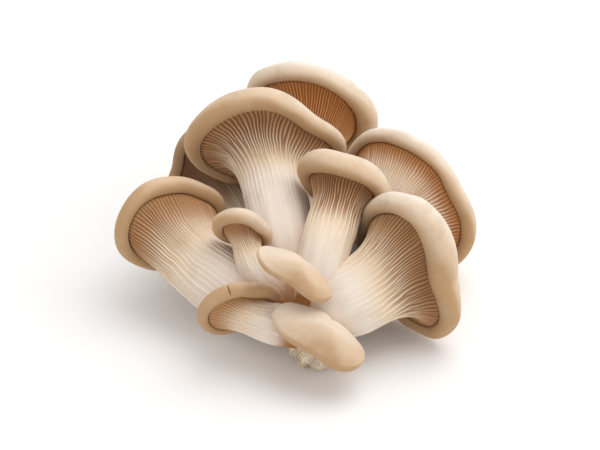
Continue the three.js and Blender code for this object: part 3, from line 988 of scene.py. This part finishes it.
@dataclass
class Cap:
    """A mushroom's cap: a smooth dome with a rolled rim that turns in to the gills."""

    mushroom: Mushroom
    columns: int = 256
    dome_rows: int = 44
    rim_rows: int = 34
    under_rows: int = 8
    swell_mm: float = 0.5
    lump_mm: float = 8.0
    split_width: float = 0.016
    split_depth_mm: float = 0.6
    split_from: tuple[float, float] = (-70.0, -45.0)
    split_to: tuple[float, float] = (10.0, 35.0)
    underside_place: float = 2.2
    level_places: tuple[float, float] = (1.3, 1.8)
    crown_places: tuple[float, float] = (0.2, 0.9)

    def build(self, material: bpy.types.Material) -> bpy.types.Object:
        """Makes the cap's mesh, dresses it and puts it in place of its node.

        Args:
            material: The cap cuticle.

        Returns:
            The finished piece.
        """
        shape = self.mushroom
        turns = shape.turns(self.columns)
        split = self.split_share(turns)
        rows: list[np.ndarray] = []
        across: list[float] = []
        cut: list[np.ndarray] = []
        under_start = shape.round_rim(turns, INNER_EDGE)
        for share in np.linspace(1, 0, self.under_rows + 1)[1:-1]:
            rows.append(shape.to_pole(under_start, shape.under_pole, share))
            across.append(self.underside_place)
            cut.append(np.zeros(self.columns))
        for angle in np.linspace(INNER_EDGE, shape.rim_top, self.rim_rows):
            height = np.full(self.columns, angle)
            depth = split * smooth(height, *self.split_from) * (1 - smooth(height, *self.split_to))
            ring = shape.round_rim(turns, angle)
            inward = unit(shape.rim(turns) - ring)
            rows.append(ring + inward * (depth * self.split_depth_mm)[:, None])
            across.append(1 + (RIM_TOP - angle) / (RIM_TOP - GROOVE))
            cut.append(depth)
        rim_top = shape.round_rim(turns, shape.rim_top)
        for share in np.linspace(0, 1, self.dome_rows + 1)[1:-1]:
            rows.append(shape.to_pole(rim_top, shape.top, share))
            across.append(1 - share)
            cut.append(np.zeros(self.columns))
        places = np.array(across)
        grid = self.swollen(np.array(rows), places)
        name = f"cap_{shape.name}"
        # The cap carries its painted light and shade, its painted shadow and its crack as attributes.
        piece = closed_skin(
            name, laid(shape.under_pole), laid(grid), laid(grid[-1].mean(axis=0)),
            {"cap_across": np.repeat(places[:, None], self.columns, 1), "cap_bloom": self.bloom(grid, places),
             "cap_split": np.array(cut), "cap_age": shape.age},
        )
        piece.data.materials.append(material)
        return settle(piece, name)

    def split_share(self, turns: np.ndarray) -> np.ndarray:
        """Says where the rim is cracked.

        Args:
            turns: Each column's turn.

        Returns:
            The crack's share at each turn, 0 on a whole rim.
        """
        if self.mushroom.split_turn is None:
            return np.zeros_like(turns)
        away = np.angle(np.exp(1j * (turns - math.radians(self.mushroom.split_turn))))
        return np.exp(-((away / self.split_width) ** 2))

    def bloom(self, grid: np.ndarray, across: np.ndarray) -> np.ndarray:
        """Gives how pale each point is painted: painted light and shade over each cap's tone.

        Args:
            grid: Points by ring and column, in millimetres.
            across: Each ring's place, 0 at the crown, 1 at the rim's top and 2 at the groove.

        Returns:
            About 1 where the cap faces the painted light, less where it turns away, towards the painted
            shade's end and on a darker crown.
        """
        shape = self.mushroom
        around = np.roll(grid, -1, axis=1) - np.roll(grid, 1, axis=1)
        normals = unit(np.cross(around, np.gradient(grid, axis=0)))
        # Painted light: paler where the surface turns to the light's direction, painted shade where it turns
        # away.
        facing = 0.5 + 0.5 * (normals @ unit(PAINTED_LIGHT_FROM))
        # Painted shade towards one end of the cap.
        inside = (grid - np.array(shape.centre)) @ unit(PAINTED_SHADE_TOWARD) / max(shape.reach)
        crown = 1 - smooth(across[:, None], *self.crown_places)
        return facing + shape.tone - shape.painted_shade_lean * inside - shape.crown_darkening * crown

    def swollen(self, grid: np.ndarray, across: np.ndarray) -> np.ndarray:
        """Adds the gentle lumps of a grown cap, none of them where it meets the gills.

        Args:
            grid: Points by ring and column, in millimetres.
            across: Each ring's place, 0 at the crown, 1 at the rim's top and 2 at the groove.

        Returns:
            The moved points.
        """
        shape = self.mushroom
        tune = name_number(shape.name) % 17
        x, y, z = np.moveaxis(grid / self.lump_mm, -1, 0)
        wave = np.sin(x + 0.6 * y + tune) * np.cos(0.8 * z - 0.5 * x) + np.sin(1.3 * y - 0.9 * z + 2 * tune)
        wave = wave + 0.5 * np.sin(2.1 * x - 1.7 * y + 1.9 * z)
        fade = 1 - smooth(across[:, None], *self.level_places)
        out = unit(grid - (shape.top - shape.crown * shape.up))
        return grid + out * (self.swell_mm * wave * fade)[..., None]


@dataclass
class Stem:
    """A mushroom's stem, opening into gills that run out to the rim."""

    mushroom: Mushroom
    columns_per_gill: int = 8
    stalk_rows: int = 22
    flare_rows: int = 50
    under_rows: int = 4
    dent_mm: float = 0.22
    dent_places: tuple[float, float] = (0.2, 0.8)
    sharpness: float = 1.7
    valley_share: float = 0.4
    wobble_gills: float = 1.6
    wobble_mm: float = 10.0
    streaks_round: float = 14.0
    streaks_along: float = 1.6
    hidden_run: float = 1.1
    underside_run: float = 1.2
    # How much of the painted shadow falls on the gills.
    painted_shadow_share: float = 0.85

    def build(self, material: bpy.types.Material, gills: bpy.types.NodeTree) -> bpy.types.Object:
        """Makes the stem's mesh, raises its gills and puts it in place of its node.

        Args:
            material: The gill flesh.
            gills: The tree that raises gills.

        Returns:
            The finished piece.
        """
        shape = self.mushroom
        columns = shape.gills * self.columns_per_gill
        turns = shape.turns(columns)
        rows: list[np.ndarray] = []
        run: list[float] = []
        for share in np.linspace(0, 1, self.stalk_rows + 1)[:-1]:
            grow = share * share * (3 - 2 * share)
            radius = shape.root_radius + (shape.neck_radius - shape.root_radius) * grow
            rows.append(shape.stalk_ring(turns, share * shape.neck_at, radius))
            run.append(share - 1)
        for share in np.linspace(0, 1, self.flare_rows + 1):
            rows.append(shape.flare(turns, share))
            run.append(share)
        rows.append(shape.round_rim(turns, HIDDEN_FACE, HIDDEN_GAP))
        run.append(self.hidden_run)
        start = shape.round_rim(turns, INNER_EDGE)
        for share in np.linspace(0, 1, self.under_rows + 1)[1:-1]:
            rows.append(shape.to_pole(start, shape.under_pole, share) - HIDDEN_GAP * shape.up)
            run.append(self.underside_run)
        grid = self.dented(np.array(rows), np.array(run), turns)
        level = np.repeat(np.array(run)[:, None], columns, 1)
        spoke = np.repeat(turns[None], len(rows), 0)
        phase = np.repeat((np.arange(columns) / self.columns_per_gill)[None], len(rows), 0)
        ring = [self.streaks_round * np.cos(spoke), self.streaks_round * np.sin(spoke)]
        fibre = np.stack([*ring, self.streaks_along * level], -1)
        name = f"stem_{shape.name}"
        # The gills carry their painted light, shade and shadow as attributes.
        piece = closed_skin(
            name, laid(shape.stalk_point(0)[0]), laid(grid), laid(shape.under_pole - HIDDEN_GAP * shape.up),
            {"gill_run": level, "gill_phase": phase, "stem_fibre": fibre, "gill_warmth": shape.warmth,
             "gill_age": self.painted_shadow_share * shape.age, "gill_pale": shape.pale, "gill_dry": shape.dry,
             "gill_shade": shape.shade},
        )
        apply_tree(piece, gills, {
            "Gill Count": shape.gills, "Gill Height": shape.gill_height * MM, "Sharpness": self.sharpness,
            "Valley Share": self.valley_share, "Wobble": self.wobble_gills,
            "Wobble Size": self.wobble_mm * MM, "Seed": name_number(shape.name), "Material": material,
        })
        return settle(piece, name)

    def dented(self, grid: np.ndarray, run: np.ndarray, turns: np.ndarray) -> np.ndarray:
        """Presses long shallow furrows into the stem, as crowded stems have.

        Args:
            grid: Points by ring and column, in millimetres.
            run: Each ring's place, -1 at the root, 0 at the neck and 1 at the rim.
            turns: Each column's turn.

        Returns:
            The moved points.
        """
        tune = name_number(self.mushroom.name) % 13
        level = run[:, None]
        wave = np.sin(5 * turns + tune + level) + 0.6 * np.sin(11 * turns - tune + 2 * level)
        fade = 1 - smooth(level, *self.dent_places)
        middle = grid.mean(axis=1, keepdims=True)
        return grid + unit(grid - middle) * (self.dent_mm * wave * fade)[..., None]


@dataclass
class TornBase:
    """The foot that holds the stems together, torn off what it grew on."""

    columns: int = 220
    rows: int = 120
    rag_mm: float = 0.9
    torn_slopes: tuple[float, float] = (-0.4, 0.5)
    fibres_per_m2: float = 2.0e6
    fibre_mm: float = 1.2
    fibre_radius_mm: float = 0.22
    seed: int = 7

    def build(self, material: bpy.types.Material, fray: bpy.types.NodeTree) -> bpy.types.Object:
        """Makes the ragged lump, frays it and puts it in place of its node.

        Args:
            material: The torn flesh.
            fray: The tree that makes frayed fibres.

        Returns:
            The finished piece.
        """
        slope = ((np.arange(1, self.rows) / self.rows - 0.5) * math.pi)[:, None]
        turns = (np.arange(self.columns) / self.columns * FULL_TURN)[None]
        ragged = np.sin(5 * turns + 2 * slope) * np.cos(4 * slope) + np.sin(9 * turns - 5 * slope)
        fine = np.sin(31 * turns + 9 * slope) * np.sin(23 * slope - 7 * turns)
        fine = fine + 0.6 * np.sin(53 * turns - 17 * slope) * np.cos(41 * slope + 13 * turns)
        swell = 1 + (BASE_TEAR * ragged + self.rag_mm / BASE_RADII[0] * 0.5 * fine) * np.cos(slope)
        ball = np.stack(np.broadcast_arrays(
            np.cos(turns) * np.cos(slope), np.sin(turns) * np.cos(slope), np.sin(slope)
        ), -1)
        grid = ball * swell[..., None] * np.array(BASE_RADII) + np.array(BASE_CENTRE)
        pole = np.array([0, 0, BASE_RADII[2]])
        ends = [(np.array(BASE_CENTRE) + side * pole) * MM + SHIFT for side in (-1, 1)]
        torn = np.repeat(smooth(-slope, *self.torn_slopes), self.columns, 1)
        piece = closed_skin("base", ends[0], grid * MM + SHIFT, ends[1], {"torn": torn})
        apply_tree(piece, fray, {
            "Density": self.fibres_per_m2, "Fibre Length": self.fibre_mm * MM,
            "Fibre Radius": self.fibre_radius_mm * MM, "Seed": self.seed, "Material": material,
        })
        return settle(piece, "base")


def settle(piece: bpy.types.Object, node: str) -> bpy.types.Object:
    """Lets a piece ride on the cluster's one body and stand for its node.

    Args:
        piece: The finished piece.
        node: The node that it replaces.

    Returns:
        The piece.
    """
    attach(piece, "root")
    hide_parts(node)
    LOG.info("%s: %d faces", piece.name, len(piece.data.polygons))
    return piece


@dataclass(frozen=True)
class Lamp:
    """A soft square lamp: its place and size in metres, and its power in watts."""

    name: str
    place: Point
    size: float
    power: float

    def hang(self, aim: Vector) -> None:
        """Hangs the lamp.

        Args:
            aim: The point that it is turned to, in metres.
        """
        light = bpy.data.lights.new(self.name, "AREA")
        light.energy = self.power
        light.size = self.size
        lamp = bpy.data.objects.new(self.name, light)
        lamp.location = self.place
        lamp.rotation_mode = "QUATERNION"
        lamp.rotation_quaternion = (aim - Vector(self.place)).to_track_quat("-Z", "Y")
        bpy.context.scene.collection.objects.link(lamp)


@dataclass
class Studio:
    """A white table, soft light from above and behind, and the camera."""

    camera_distance: float = 1.2
    pixel_mm: float = 0.4
    frame_width_px: int = 600
    aim_mm: Point = (0.0, 30.0, 0.0)
    sensor_mm: float = 36.0
    floor_size: float = 8.0
    floor_colour: str = "#f6f5f4"
    floor_roughness: float = 0.7
    world_strength: float = 0.82
    lamps: tuple[Lamp, ...] = (
        Lamp("key", (0.26, 0.03, 0.87), 0.7, 3.7),
        Lamp("side", (0.75, -0.1, 0.5), 0.6, 0.7),
    )

    def build(self) -> None:
        """Makes the floor, the lights, the world and the camera."""
        self.floor()
        aim = Vector(laid(np.array(self.aim_mm)))
        self.camera(aim)
        for lamp in self.lamps:
            lamp.hang(aim)
        world = bpy.data.worlds.new("white_room")
        world.use_nodes = True
        sky = world.node_tree.nodes["Background"]
        sky.inputs["Color"].default_value = (1, 1, 1, 1)
        sky.inputs["Strength"].default_value = self.world_strength
        bpy.context.scene.world = world
        bpy.context.scene.view_settings.view_transform = "Standard"

    def floor(self) -> None:
        """Makes the table top."""
        half = self.floor_size / 2
        mesh = bpy.data.meshes.new("floor")
        corners = [(-half, -half, 0), (half, -half, 0), (half, half, 0), (-half, half, 0)]
        mesh.from_pydata(corners, [], [(0, 1, 2, 3)])
        material = bpy.data.materials.new("white_laminate")
        material.use_nodes = True
        shader = material.node_tree.nodes["Principled BSDF"]
        shader.inputs["Base Color"].default_value = linear(self.floor_colour)
        shader.inputs["Roughness"].default_value = self.floor_roughness
        mesh.materials.append(material)
        floor = bpy.data.objects.new("floor", mesh)
        bpy.context.scene.collection.objects.link(floor)

    def camera(self, aim: Vector) -> None:
        """Sets the camera up at the photograph's angle and scale.

        Args:
            aim: The point in the middle of the picture, in metres.
        """
        data = bpy.data.cameras.new("camera")
        data.sensor_width = self.sensor_mm
        data.lens = self.sensor_mm * self.camera_distance / (self.pixel_mm * MM * self.frame_width_px)
        camera = bpy.data.objects.new("camera", data)
        back = Vector((0, -math.cos(VIEW_ELEVATION), math.sin(VIEW_ELEVATION)))
        camera.location = aim + back * self.camera_distance
        camera.rotation_mode = "QUATERNION"
        camera.rotation_quaternion = (-back).to_track_quat("-Z", "Y")
        bpy.context.scene.collection.objects.link(camera)
        bpy.context.scene.camera = camera


def main() -> None:
    """Builds the studio, the base and every mushroom."""
    logging.basicConfig(level=logging.INFO)
    Studio().build()
    cap_skin, gill_flesh, torn_flesh = cap_material(), gill_material(), torn_material()
    gills, fray = gill_tree(), fray_tree()
    TornBase().build(torn_flesh, fray)
    for mushroom in CLUSTER:
        Cap(mushroom).build(cap_skin)
        Stem(mushroom).build(gill_flesh, gills)


if __name__ == "__main__":
    main()
